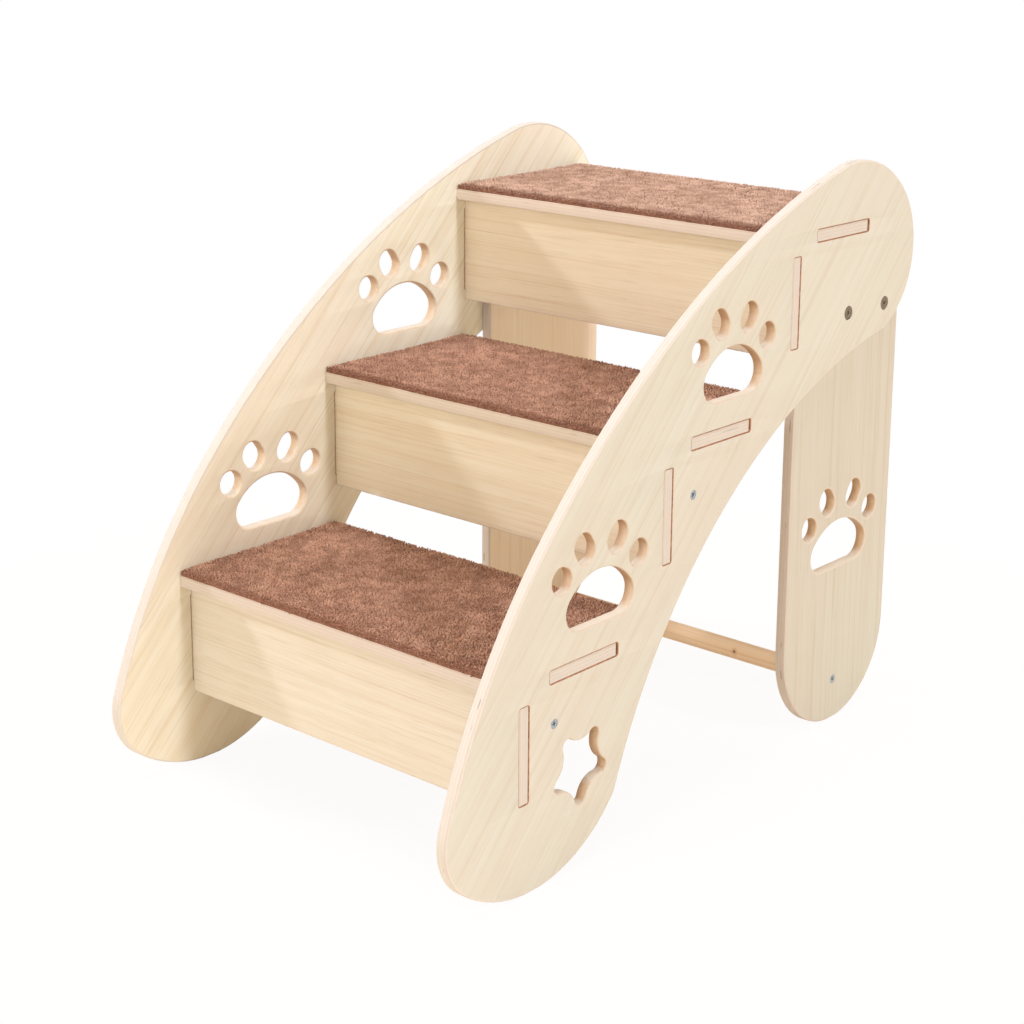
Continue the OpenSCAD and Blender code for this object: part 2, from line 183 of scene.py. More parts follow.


# Face veneer. The grain runs along the mapped Y axis. "tint" may change with the height to a lighter tint,
# painted light on the board's upper part.
def veneer(name, turn, shift, tint=white, paintedLightTint=None, contrast=1, fine=1):
    f, look = Finish(name), veneerLook
    grain = f.add("ShaderNodeMapping", {"vector_type": "POINT"},
                  {"Vector": f.place(), "Rotation": turn, "Location": shift})
    sway = (f.noise(grain, look["swayFine"]) - 0.5) * look["sway"]
    swayed = f.vectors("ADD", grain, f.add("ShaderNodeCombineXYZ", None, {0: sway, 2: sway}))
    bands, lines = f.layer(swayed, look["bands"], fine), f.layer(swayed, look["lines"], fine)
    hair, pores = f.layer(swayed, look["hair"]), f.layer(swayed, look["pores"])
    wood = f.mix(bands * (look["bandShare"] * contrast), look["light"], look["mid"])
    wood = f.mix(f.layer(grain, look["tone"]) * look["toneShare"], wood, look["warm"])
    wood = f.mix(lines * (look["lineShare"] * contrast), wood, look["streak"])
    wood = f.mix(hair * (look["hairShare"] * contrast), wood, look["streak"])
    wood = f.mix(pores * (look["poreShare"] * contrast), wood, look["pore"])
    # Painted light: a lighter tint higher up the board
    if paintedLightTint:
        tint = f.mix(f.span(f.axes(f.place())[2], *look["paintedLightFade"]), tint, paintedLightTint)
    wood = f.mix(1.0, wood, tint, "MULTIPLY")
    height = 0 - lines * look["lineDeep"] - hair * look["hairDeep"] - pores
    return f.finish(Base_Color=wood, Roughness=look["roughness"] + lines * look["lineRoughness"],
                    Normal=f.bump(height, look["bumpDepth"]))


edgeLook = {
    "plies": 7,
    "sawn": colour(227, 225, 221),    # plies with the grain along the edge
    "end": colour(220, 213, 206),     # plies seen on their ends
    "glue": colour(214, 184, 160),
    "line": colour(214, 172, 146),    # the glue line under the face veneer
    "void": colour(132, 96, 74),
    "wobble": 0.05, "wobbleFine": (60, 60, 60),
    "endFrom": (0.42, 0.58),          # where a ply along the edge turns into one on its end
    "seam": (0.0, 0.10),              # share of a ply in which its glue shows
    "fibres": ((380, 380, 380), 3, 0.6, 0.38, 0.68),
    "cells": ((1500, 1500, 1500), 2, 0.6, 0.4, 0.7),
    "gaps": ((34, 34, 34), 1, 0.5, 0.67, 0.71),
    # Zones through the board: how they start behind its first face, and end before its second
    "core": ((0.30, 0.34), (0.60, 0.64)),
    "skin": ((0.03, 0.07), (0.86, 0.90)),
    "endShare": 0.4, "fibreShare": 0.25, "cellShare": 0.2, "seamShare": 0.16, "skinShare": 0.26,
    "roughness": 0.62,
    "bumpDepth": 0.0002, "cellDeep": 0.4, "seamDeep": 0.7, "gapDeep": 2,
    "tenonFrom": 213 * mm,            # beyond this from the middle, a board's edge is a tenon's end
    "tenonTint": (0.93, 0.95, 1.0, 1),
}


# Ply edges. The mesh carries "depth", which runs from 0 to 1 through the board.
def plyEdge(name, tint, voids, tenons=False):
    f, look = Finish(name), edgeLook
    place, depth = f.place(), f.attribute("depth")

    def zone(first, second):
        return f.span(depth, *first) * f.span(1 - depth, *second)

    ply = (depth + (f.noise(place, look["wobbleFine"]) - 0.5) * look["wobble"]) * look["plies"]
    part = f.maths("FRACT", ply)
    cross = f.span(f.maths("PINGPONG", ply, 1.0), *look["endFrom"])
    seam = 1 - f.span(part, *look["seam"]) * f.span(1 - part, *look["seam"])
    fibres, cells, gaps = (f.layer(place, look[marks]) for marks in ("fibres", "cells", "gaps"))
    gaps = gaps * zone(*look["core"])
    wood = f.mix(cross * look["endShare"], look["sawn"], look["end"])
    wood = f.mix(fibres * look["fibreShare"], wood, look["end"])
    wood = f.mix(cells * cross * look["cellShare"], wood, look["glue"])
    wood = f.mix(seam * look["seamShare"], wood, look["glue"])
    wood = f.mix(zone(*look["skin"]) * look["skinShare"], wood, look["line"])
    wood = f.mix(gaps * voids, wood, look["void"])
    if tenons:
        out = f.maths("ABSOLUTE", f.axes(place)[0])
        tint = f.mix(f.span(out, look["tenonFrom"], look["tenonFrom"] + mm), tint, look["tenonTint"])
    wood = f.mix(1.0, wood, tint, "MULTIPLY")
    height = 0 - cells * look["cellDeep"] - seam * look["seamDeep"] - gaps * look["gapDeep"]
    return f.finish(Base_Color=wood, Roughness=look["roughness"], Normal=f.bump(height, look["bumpDepth"]))


cutLook = {
    "fibre": colour(194, 156, 120),
    "rim": colour(218, 213, 206),
    "paintedTopLight": colour(234, 232, 228),  # painted top light on walls that face up, and painted shade on walls that face down
    "paintedUnderShade": colour(178, 142, 108),
    "fibres": ((420, 420, 420), 3, 0.6, 0.36, 0.68),
    "patches": ((70, 70, 70), 2, 0.5, 0.35, 0.65),
    "fibreShare": 0.15, "patchShare": 0.15,
    # Each blend: where it starts and ends, and its share at both
    # Painted shade through the board's depth, from the outer to the inner colour
    "inward": (0.25, 0.95, 0.0, 1.0),
    "down": (-0.7, 0.1, 0.7, 0.0),
    "up": (0.6, 0.98, 0.0, 0.9),
    "rimFade": (0.02, 0.16, 1.0, 0.0),
    "roughness": 0.6, "bumpDepth": 0.0002,
}


# Walls of the cut-outs, from their outer to their inner colour through the board, which paints shade deeper
# in the hole, with painted top light on walls that face up and painted shade on walls that face down
def cutoutWall(name, outer, inner):
    f, look = Finish(name), cutLook
    place, depth = f.place(), f.attribute("depth")
    fibres, patches = f.layer(place, look["fibres"]), f.layer(place, look["patches"])
    facing = f.axes(f.add("ShaderNodeNewGeometry", out="Normal"))[2]
    # Painted shade: darker further into the hole, towards its -X side
    wood = f.mix(f.span(depth, *look["inward"]), outer, inner)
    wood = f.mix(fibres * look["fibreShare"] + patches * look["patchShare"], wood, look["fibre"])
    # Painted shade on walls that face down, and painted top light on walls that face up
    wood = f.mix(f.span(facing, *look["down"]), wood, look["paintedUnderShade"])
    wood = f.mix(f.span(facing, *look["up"]), wood, look["paintedTopLight"])
    wood = f.mix(f.span(depth, *look["rimFade"]), wood, look["rim"])
    return f.finish(Base_Color=wood, Roughness=look["roughness"],
                    Normal=f.bump(0 - fibres, look["bumpDepth"]))


mortiseLook = {
    # Painted shade in the slots: both colours darker than the wood
    "pale": colour(190, 142, 112),
    "paintedSlotShade": colour(146, 104, 80),
    "slotShadeMottle": ((300, 300, 300), 2, 0.5, 0.3, 0.7),
    "roughness": 0.7,
}


def mortiseFinish(name):  # painted shade: the narrow slots' walls darker than the wood, mottled
    f, look = Finish(name), mortiseLook
    wood = f.mix(f.layer(f.place(), look["slotShadeMottle"]), look["pale"], look["paintedSlotShade"])
    return f.finish(Base_Color=wood, Roughness=look["roughness"])


rodLook = {
    "light": colour(240, 222, 200),
    "mid": colour(226, 198, 166),
    "streak": colour(206, 170, 134),
    "halo": colour(190, 134, 88),     # the wood around a knot
    "knot": colour(116, 74, 46),
    "bands": ((2.2, 110, 110), 2, 0.5, 0.35, 0.68),
    "lines": ((3, 420, 420), 3, 0.6, 0.42, 0.7),
    "bandShare": 0.6, "lineShare": 0.35, "haloShare": 0.35,
    "haloReach": 2.2, "knotHeart": 0.5,   # in knot sizes
    "roughness": 0.55, "bumpDepth": 0.0001,
}


# Round rods, with the grain along X and knots at given places, each with its size
def rodWood(name, knots=()):
    f, look = Finish(name), rodLook
    place = f.place()
    lines = f.layer(place, look["lines"])
    wood = f.mix(f.layer(place, look["bands"]) * look["bandShare"], look["light"], look["mid"])
    wood = f.mix(lines * look["lineShare"], wood, look["streak"])
    for x, y, z, size in knots:
        away = f.vectors("DISTANCE", place, (x, y, z))
        halo = f.span(away, size, size * look["haloReach"], look["haloShare"], 0.0)
        knot = f.span(away, size * look["knotHeart"], size, 1.0, 0.0)
        wood = f.mix(knot, f.mix(halo, wood, look["halo"]), look["knot"])
    return f.finish(Base_Color=wood, Roughness=look["roughness"],
                    Normal=f.bump(0 - lines, look["bumpDepth"]))


metalLook = {
    "wear": ((700, 700, 700), 3, 0.6, 0.35, 0.7),
    "wearRoughness": 0.15,
    "scratchFine": (2500, 500, 2500), "scratchDeep": 0.00003,
}


# Bare metal: steel of the screws and dark bronze of the connector bolts
def metal(name, bright, dull, roughness):
    f, look = Finish(name), metalLook
    place = f.place()
    wear = f.layer(place, look["wear"])
    return f.finish(Base_Color=f.mix(wear, bright, dull), Metallic=1.0,
                    Roughness=roughness + wear * look["wearRoughness"],
                    Normal=f.bump(f.noise(place, look["scratchFine"]), look["scratchDeep"]))


carpetLook = {
    "tip": colour(206, 163, 143),
    "yarn": colour(175, 129, 109),
    # darker yarn for the clumps and patches, also used as painted shade at the roots and in the ground
    "shade": colour(136, 93, 75),
    "paintedFrontShade": colour(130, 86, 69),      # painted shade along the carpet's front edge
    "frontShadeDeep": 5 * mm, "frontShadeShare": 0.8,
    "clumps": ((58, 58, 58), 3, 0.6, 0.38, 0.64),
    "patches": ((13, 13, 13), 2, 0.5, 0.42, 0.62),
    "clumpShare": 0.65, "patchShare": 0.25,
    "tipLeast": 0.6, "tuftShare": 0.4,    # of the tips' colour: in every tuft, and at most added to it
    "paintedRootShade": (0.0, 0.7, 0.45, 0.0),    # painted shade at a tuft's root, fading upwards
    "roughness": 0.95,
    "sheen": 0.75, "sheenRoughness": 0.4, "sheenTint": (1.0, 0.80, 0.68, 1),
    "felt": ((500, 500, 500), 3, 0.65, 0.35, 0.68), "feltDeep": 0.0008,
    # Per step tints; the top carpet's much paler one is painted sheen, for the grazing view of it
    "tintsAndPaintedSheen": {"bottom": (1, 0.99, 0.93, 1), "middle": (1.03, 1.03, 1.02, 1), "top": (1.26, 1.54, 1.72, 1)},
}


# Cut pile. "tuft" is a tuft's own random share, and "rise" runs from its root to its tip.
def pileFinish(name, front, tint):
    f, look = Finish(name), carpetLook
    place = f.place()
    yarn = f.mix(f.attribute("tuft") * look["tuftShare"] + look["tipLeast"], look["yarn"], look["tip"])
    yarn = f.mix(f.layer(place, look["clumps"]) * look["clumpShare"], yarn, look["shade"])
    yarn = f.mix(f.layer(place, look["patches"]) * look["patchShare"], yarn, look["shade"])
    # Painted shade at the roots of the tufts
    yarn = f.mix(f.span(f.attribute("rise"), *look["paintedRootShade"]), yarn, look["shade"])
    # Painted shade along the front edge
    paintedFrontShade = f.span(f.axes(place)[1], front, front + look["frontShadeDeep"], look["frontShadeShare"], 0.0)
    yarn = f.mix(1.0, f.mix(paintedFrontShade, yarn, look["paintedFrontShade"]), tint, "MULTIPLY")
    return f.finish(Base_Color=yarn, Roughness=look["roughness"], Sheen_Weight=look["sheen"],
                    Sheen_Roughness=look["sheenRoughness"], Sheen_Tint=look["sheenTint"])


# The ground seen between the tufts: yarn darkened by painted shade, with a felt texture
def groundShadeFinish(name):
    f, look = Finish(name), carpetLook
    felt = f.layer(f.place(), look["felt"])
    return f.finish(Base_Color=f.mix(felt, look["shade"], look["yarn"]), Roughness=look["roughness"],
                    Normal=f.bump(felt, look["feltDeep"]))


# Every board has its own cut of veneer: how the grain is turned and shifted, and its tint
slanted, upright, across = (-veneerLook["grainLean"], 0, 0), (-quarterTurn, 0, 0), (0, 0, quarterTurn)
# The left panel and left leg, which stand in more shade, are tinted lighter than the right ones: partly
# each sheet's own tone, partly painted light
panelFace = {
    "right": veneer("veneerRightPanel", slanted, (0.10, 0.2, 0.3), (0.73, 0.85, 1.01, 1), contrast=0.75),
    # The left panel's veneer also gets painted light, lighter higher up
    "left": veneer("veneerLeftPanel", slanted, (0.55, 0.9, 0.1), (0.86, 0.94, 1.02, 1),
                   paintedLightTint=(1.03, 1.20, 1.38, 1), contrast=1.25),
}
legFace = {
    "right": veneer("veneerRightLeg", upright, (0.30, 0.5, 0.7), (0.67, 0.78, 0.9, 1)),
    "left": veneer("veneerLeftLeg", upright, (0.70, 0.1, 0.9), (0.9, 0.92, 1.0, 1)),
}
# The bottom boards are tinted darker than the others: painted shade on the lowest step, which gets the most
# light
boardFace = {
    "bottom": veneer("veneerBottomBoards", across, (0.9, 0.1, 0.3), (0.82, 0.91, 1.02, 1),
                     contrast=1.1, fine=2.4),
    "middle": veneer("veneerMiddleBoards", across, (0.2, 0.4, 0.6), (0.96, 1.03, 1.06, 1),
                     contrast=1.2, fine=1.8),
    "top": veneer("veneerTopBoards", across, (0.6, 0.8, 0.1), (0.96, 1.03, 1.06, 1),
                  contrast=1.2, fine=1.8),
}
panelEdge = plyEdge("plyEdgePanels", (0.96, 0.99, 1.03, 1), 0.6)
# Painted shade: the legs' edges are tinted darker; their many voids are the wood's own
legEdgeShaded = plyEdge("plyEdgeLegs", (0.85, 0.83, 0.86, 1), 0.9)
# Painted light: the board edges are tinted lighter step by step upwards, the top nosing most
boardEdge = {
    "bottom": plyEdge("plyEdgeBottomBoards", (0.96, 0.92, 0.91, 1), 0.2, True),
    "middle": plyEdge("plyEdgeMiddleBoards", (1.02, 0.97, 0.90, 1), 0.2, True),
    "top": plyEdge("plyEdgeTopBoards", (1.12, 1.07, 1.05, 1), 0.2, True),
}
cutoutEdge = {
    # Outer and inner wall colours; the darker one is painted shade on the hole's -X side
    "right": cutoutWall("cutoutWallsRight", colour(228, 212, 192), colour(190, 158, 128)),
    "left": cutoutWall("cutoutWallsLeft", colour(232, 212, 186), colour(246, 238, 224)),
}
mortiseWall = mortiseFinish("mortiseWalls")
tieWood = rodWood("tieDowels")
steel = metal("zincSteel", colour(196, 202, 203), colour(148, 154, 156), 0.3)
bronze = metal("darkBronze", colour(160, 140, 118), colour(114, 98, 82), 0.4)
groundShade = groundShadeFinish("carpetBacking")
print("finishes made")


def keep(name, mesh, finishes, node):  # a finished piece, which stands for a CAD node
    piece = bpy.data.objects.new(name, mesh)
    bpy.context.scene.collection.objects.link(piece)
    for material in finishes:
        mesh.materials.append(material)
    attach(piece, "root")
    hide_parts(node)
    return piece


def meshOf(name, bm, sharp=35):
    bm.normal_update()
    mesh = bpy.data.meshes.new(name)
    bm.to_mesh(mesh)
    bm.free()
    mesh.set_sharp_from_angle(angle=math.radians(sharp))
    return mesh


def band(bm, near, far):  # faces between two rings
    made = []
    for i in range(len(near)):
        j = (i + 1) % len(near)
        made.append(bm.faces.new((near[i], near[j], far[j], far[i])))
    return made


def area(loop):
    return sum(a[0] * b[1] - b[0] * a[1] for a, b in zip(loop, loop[1:] + loop[:1])) / 2


# Moves a loop to its left, which is into the wood, and at a sharp corner by at most "reach" times as much
def inset(loop, depth, shares=None, reach=2):
    moved = []
    for n, (before, here, after) in enumerate(zip(loop[-1:] + loop[:-1], loop, loop[1:] + loop[:1])):
        a, b = (here - before).normalized(), (after - here).normalized()
        na, nb = Vector((-a.y, a.x)), Vector((-b.y, b.x))
        way = (na + nb).normalized()
        moved.append(here + way * depth * (shares[n] if shares else 1) / max(1 / reach, way.dot(na)))
    return moved


def easing(loop, thick, radius, steps=4, shares=None):  # rings of a wall whose two edges are rounded
    rings = []
    for step in range(steps + 1):
        turn = quarterTurn * step / steps
        rings.append((inset(loop, radius * (1 - math.sin(turn)), shares), radius * (1 - math.cos(turn))))
    return rings + [(points, thick - depth) for points, depth in reversed(rings)]


def circle(centre, radius, count=48, clockwise=False):
    way = -1 if clockwise else 1
    angles = [way * math.tau * i / count for i in range(count)]
    return [centre + radius * Vector((math.cos(angle), math.sin(angle))) for angle in angles]


# Makes a board from walls. A wall is its rings, from the first face to the second, and a material index.
# The wood is on the left of every ring. place(point, depth) gives a point in the object.
def board(name, walls, thick, place):
    bm = bmesh.new()
    share = bm.verts.layers.float.new("depth")
    caps = ([], [])
    for rings, index in walls:
        rows = []
        for points, depth in rings:
            row = [bm.verts.new(place(point, depth)) for point in points]
            for vert in row:
                vert[share] = depth / thick
            rows.append(row)
        for near, far in zip(rows, rows[1:]):
            for face in band(bm, near, far):
                face.material_index, face.smooth = index, True
        caps[0].append((rings[0][0], rows[0]))
        caps[1].append((rings[-1][0], rows[-1]))
    for cap in caps:
        verts = [vert for _, row in cap for vert in row]
        for trio in tessellate_polygon([[Vector((p.x, p.y, 0)) for p in points] for points, _ in cap]):
            bm.faces.new([verts[i] for i in trio])
    bmesh.ops.recalc_face_normals(bm, faces=bm.faces)
    return meshOf(name, bm)


def nodeMesh(node, weld=2e-6):  # a copy of a CAD node's mesh, with its loose triangles joined
    bm = bmesh.new()
    bm.from_mesh(nodes[node].data)
    bmesh.ops.remove_doubles(bm, verts=bm.verts, dist=weld)
    return bm


# Loops of a plate's face at x: the outline turns left, the holes turn right
def faceLoops(node, x, tolerance=1e-5):
    bm = nodeMesh(node)
    for face in bm.faces:
        face.tag = all(abs(vert.co.x - x) < tolerance for vert in face.verts)
    after = {}
    for face in [face for face in bm.faces if face.tag]:
        for loop in face.loops:
            if not any(other.tag for other in loop.edge.link_faces if other is not face):
                after[loop.vert] = loop.link_loop_next.vert
    loops = []
    while after:
        start, vert = after.popitem()
        loop = [start]
        while vert is not start:
            loop.append(vert)
            vert = after.pop(vert)
        loops.append([Vector((v.co.y, v.co.z)) for v in loop])
    bm.free()
    loops.sort(key=lambda loop: -abs(area(loop)))
    for n, loop in enumerate(loops):
        if (area(loop) > 0) != (n == 0):
            loop.reverse()
    return loops


def middle(loop):
    low = Vector((min(p.x for p in loop), min(p.y for p in loop)))
    high = Vector((max(p.x for p in loop), max(p.y for p in loop)))
    return (low + high) / 2, high - low


plateLook = {
    "eased": 2.0 * mm,                # rounding of the outline and of the cut-outs
    "mortiseEased": 1.0 * mm,
    "mortiseWide": 14 * mm,           # a mortise is narrower and longer than these two
    "mortiseLong": 60 * mm,
    "holeWide": 16 * mm,              # a fastener's hole is narrower than this, and as high as wide
    "holeRound": 0.3 * mm,
    "sameCentre": 1 * mm,
    "screwRing": 9.9 * mm,            # wider than this, a fastener's hole is a bolt's
    "boltSeat": 2.5 * mm,
    "screwSunk": 0.3 * mm,
    "plainHole": 0.1 * mm,            # a hole with less of a step than this is plain
}


def holeWall(centre, size, small, thick):  # a fastener's hole, with its seat
    look = plateLook
    head = size.x / 2
    hole = min((s.x for c, s in small if (c - centre).length < look["sameCentre"]), default=size.x) / 2
    if head - hole < look["plainHole"]:
        depths = [(head, 0), (head, thick)]
    elif size.x > look["screwRing"]:
        depths = [(head, 0), (head, look["boltSeat"]), (hole, look["boltSeat"]), (hole, thick)]
    else:
        sunk = look["screwSunk"]
        depths = [(head, 0), (head, sunk), (hole, sunk + head - hole), (hole, thick)]
    return [(circle(centre, radius, clockwise=True), depth) for radius, depth in depths]


# A side panel or a leg, with its outline and holes read from the CAD node
def plate(side, name, node, faceMaterial, edgeMaterial):
    look = plateLook
    low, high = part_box(node)
    way, thick = (1 if side == "right" else -1), high.x - low.x
    outX, inX = (high.x, low.x) if way > 0 else (low.x, high.x)
    small = [middle(loop) for loop in faceLoops(node, inX)[1:]]
    edge, mortise, cutout = 1, 2, 3   # the walls' material indices
    walls = []
    for n, loop in enumerate(faceLoops(node, outX)):
        centre, size = middle(loop)
        if n and size.x < look["holeWide"] and abs(size.x - size.y) < look["holeRound"]:
            walls.append((holeWall(centre, size, small, thick), edge))
        elif n and min(size) < look["mortiseWide"] and max(size) > look["mortiseLong"]:
            walls.append((easing(loop, thick, look["mortiseEased"], 2), mortise))
        else:
            walls.append((easing(loop, thick, look["eased"]), cutout if n else edge))
    mesh = board(name, walls, thick, lambda p, d: Vector((outX - way * d, p.x, p.y)))
    return keep(name, mesh, (faceMaterial, edgeMaterial, mortiseWall, cutoutEdge[side]), node)


for side in ("right", "left"):
    plate(side, side + "Panel", side + "_panel", panelFace[side], panelEdge)
    plate(side, side + "Leg", side + "_leg", legFace[side], legEdgeShaded)
print("side panels and legs made")


boardLook = {
    "eased": 1.5 * mm,
    "easedShares": [1, 0.3, 0.15, 0.15, 0.3, 1] * 2,   # of the loop's corners, less at the tenons
    "treadTenon": (53.25 * mm, 145.5 * mm),   # from the tread's front edge
    "riserTenonIn": 11.25 * mm,               # from the riser's two long edges
    "panelIn": 213 * mm,                      # from the middle to a side panel's inner face
}


# A board with a tenon at each end, in its own plane: along X and across it
def tenonedLoop(low, high, tenonLow, tenonHigh, end):
    body = boardLook["panelIn"]
    side = [(body, low), (body, tenonLow), (end, tenonLow),
            (end, tenonHigh), (body, tenonHigh), (body, high)]
    return [Vector(p) for p in side] + [Vector((-x, y)) for x, y in reversed(side)]


def tenoned(step, name, node, loop, thick, place):
    rings = easing(loop, thick, boardLook["eased"], shares=boardLook["easedShares"])
    mesh = board(step + name, [(rings, 1)], thick, place)
    return keep(step + name, mesh, (boardFace[step], boardEdge[step]), step + node)


for step in ("bottom", "middle", "top"):
    low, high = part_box(step + "_tread")
    first, last = boardLook["treadTenon"]
    tenoned(step, "Tread", "_tread", tenonedLoop(low.y, high.y, low.y + first, low.y + last, high.x),
            high.z - low.z, lambda p, d: Vector((p.x, p.y, high.z - d)))
    low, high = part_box(step + "_riser")
    shy = boardLook["riserTenonIn"]
    tenoned(step, "Riser", "_riser", tenonedLoop(low.z, high.z, low.z + shy, high.z - shy, high.x),
            high.y - low.y, lambda p, d: Vector((p.x, low.y + d, p.y)))
print("treads and risers made")


dowelLook = {
    "eased": 0.6 * mm,
    "sides": 64,
    # Knots of the leg dowel: place along X, behind its front and below its top, and size
    "knots": ((-0.02, 1.5 * mm, 7 * mm, 2.2 * mm), (0.09, 1.5 * mm, 9 * mm, 2.6 * mm),
              (0.165, 13.5 * mm, 13 * mm, 2.0 * mm)),
}


def rod(name, node, wood):
    low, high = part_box(node)
    centre = Vector(((low.y + high.y) / 2, (low.z + high.z) / 2))
    radius, length = (high.y - low.y) / 2, high.x - low.x
    walls = [(easing(circle(centre, radius, dowelLook["sides"]), length, dowelLook["eased"], 2), 0)]
    mesh = board(name, walls, length, lambda p, d: Vector((low.x + d, p.x, p.y)))
    return keep(name, mesh, (wood,), node)


low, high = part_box("leg_dowel")
knots = [(x, low.y + back, high.z - down, size) for x, back, down, size in dowelLook["knots"]]
legWood = rodWood("legDowel", knots)
rod("legDowel", "leg_dowel", legWood)
rod("lowerTieDowel", "lower_tie_dowel", tieWood)
rod("upperTieDowel", "upper_tie_dowel", tieWood)
print("dowels made")


# Turned piece with a pocket in its head, which faces +Z at the origin
def turned(name, profile, pocket, pocketRings, sides=48):
    bm = bmesh.new()
    rows = [[bm.verts.new((p.x, p.y, z)) for p in circle(Vector((0, 0)), r, sides)] for r, z in profile]
    for near, far in zip(rows, rows[1:]):
        for face in band(bm, near, far):
            face.smooth = True
    bm.faces.new(rows[-1])
    cut = [[bm.verts.new((p.x * s, p.y * s, z)) for p in pocket] for s, z in pocketRings]
    for near, far in zip(cut, cut[1:]):
        band(bm, near, far)
    bm.faces.new(cut[-1])
    verts = rows[0] + cut[0]
    for trio in tessellate_polygon([[Vector(vert.co) for vert in row] for row in (rows[0], cut[0])]):
        bm.faces.new([verts[i] for i in trio])
    bmesh.ops.recalc_face_normals(bm, faces=bm.faces)
    return bpy.data.objects.new(name, meshOf(name, bm, 30))


# A geometry tree with named inputs, which makes its instances real and gives them a material at its end
class Grower(Graph):
    def __init__(self, name, **inputs):
        Graph.__init__(self, bpy.data.node_groups.new(name, "GeometryNodeTree"))
        for label, kind in {"Geometry": "Geometry", **inputs}.items():
            self.tree.interface.new_socket(label, in_out="INPUT", socket_type="NodeSocket" + kind)
        self.tree.interface.new_socket("Geometry", in_out="OUTPUT", socket_type="NodeSocketGeometry")
        self.start = self.add("NodeGroupInput")

    def named(self, name, kind):
        return self.add("GeometryNodeInputNamedAttribute", {"data_type": kind}, {"Name": name})

    def between(self, least, most, seed):  # random values
        return self.add("FunctionNodeRandomValue", {"data_type": "FLOAT_VECTOR"},
                        {"Min": least, "Max": most, "Seed": seed})

    def turn(self, rotation, by):
        return self.add("FunctionNodeRotateRotation", {"rotation_space": "LOCAL"},
                        {"Rotation": rotation, "Rotate By": by})

    def stand(self, points, thing, rotation, scale):
        copy = self.add("GeometryNodeObjectInfo", None, {"Object": self.start.sibling(thing)}, "Geometry")
        return self.add("GeometryNodeInstanceOnPoints", None,
                        {"Points": points, "Instance": copy, "Rotation": rotation, "Scale": scale})

    def end(self, instances, material):
        real = self.add("GeometryNodeRealizeInstances", None, {"Geometry": instances})
        painted = self.add("GeometryNodeSetMaterial", None,
                           {"Geometry": real, "Material": self.start.sibling(material)})
        self.add("NodeGroupOutput", None, {"Geometry": painted})
        return self.tree


# Stands copies of a fastener at a mesh's points, headed along "heading" and turned by "turn"
def fastenerTree(name):
    g = Grower(name, Fastener="Object", Size="Float", Metal="Material")
    headed = g.add("FunctionNodeAlignRotationToVector", {"axis": "Z"},
                   {"Vector": g.named("heading", "FLOAT_VECTOR")})
    spin = g.add("FunctionNodeAxisAngleToRotation", None,
                 {"Axis": (0, 0, 1), "Angle": g.named("turn", "FLOAT")})
    return g.end(g.stand(g.start, "Fastener", g.turn(headed, spin), g.start.sibling("Size")), "Metal")


# Runs a tree on a mesh and gives the plain mesh that it makes
def grown(name, mesh, tree, **values):
    source = bpy.data.objects.new(name, mesh)
    bpy.context.scene.collection.objects.link(source)
    modifier = source.modifiers.new(name, "NODES")
    modifier.node_group = tree
    for item in tree.interface.items_tree:
        if item.in_out == "INPUT" and item.name in values:
            modifier[item.identifier] = values[item.name]
    graph = bpy.context.evaluated_depsgraph_get()
    graph.update()
    made = bpy.data.meshes.new_from_object(source.evaluated_get(graph))
    made.name = name
    bpy.data.objects.remove(source)
    return made


fastenerLook = {
    "screwHead": 9.6 * mm, "screwShank": 4 * mm, "screwLength": 40 * mm, "screwTip": 5 * mm,
    "screwPoint": 0.4 * mm,
    "crossLong": 5.2 * mm, "crossWide": 1.2 * mm, "crossDeep": 1.7 * mm,
    "crossTaper": ((1, 0), (0.86, 0.5), (0.5, 1)),      # width and depth, as shares
    "boltHead": 14.4 * mm, "headThick": 2.2 * mm, "boltShank": 6 * mm, "nutBarrel": 8.4 * mm,
    "socket": 3.4 * mm, "socketDeep": 1.1 * mm,
    "socketMouth": 1.12, "socketBevel": 0.25 * mm,
    # Rounding of a head's rim: how far in from its side, and how far down
    "screwRim": ((0.25 * mm, 0), (0.05 * mm, 0.06 * mm), (0, 0.2 * mm)),
    "boltRim": ((0.7 * mm, 0), (0.25 * mm, 0.08 * mm), (0, 0.4 * mm)),
    # How each fastener of a node was left turned, in radians
    "turns": {"panel_screws": (0.3, 1.1, 0.2, 0.75), "leg_screws": (0.5, 0.35),
              "leg_bolts": (0.2, 0.6, 0.1, 0.45), "leg_nuts": (0.4, 0.0, 0.3, 0.8)},
}


def countersunkScrew():
    look = fastenerLook
    head, shank = look["screwHead"] / 2, look["screwShank"] / 2
    long, tip = look["screwLength"], look["screwTip"]
    a, b = look["crossLong"] / 2, look["crossWide"] / 2
    cross = [(a, -b), (a, b), (b, b), (b, a), (-b, a), (-b, b),
             (-a, b), (-a, -b), (-b, -b), (-b, -a), (b, -a), (b, -b)]
    profile = [(head - side, -down) for side, down in look["screwRim"]]
    profile += [(shank, shank - head), (shank, tip - long), (look["screwPoint"], -long)]
    return turned("countersunkScrew", profile, [Vector(p) for p in cross],
                  [(wide, -deep * look["crossDeep"]) for wide, deep in look["crossTaper"]])


def socketHead(name, shank, length):
    look = fastenerLook
    head, thick = look["boltHead"] / 2, look["headThick"]
    across = look["socket"] / 2 / math.cos(math.pi / 6)
    hexagon = circle(Vector((0, 0)), across, 6)
    profile = [(head - side, -down) for side, down in look["boltRim"]]
    profile += [(head, -thick), (shank, -thick), (shank, -thick - length)]
    return turned(name, profile, hexagon,
                  [(look["socketMouth"], 0), (1, -look["socketBevel"]), (1, -look["socketDeep"])])


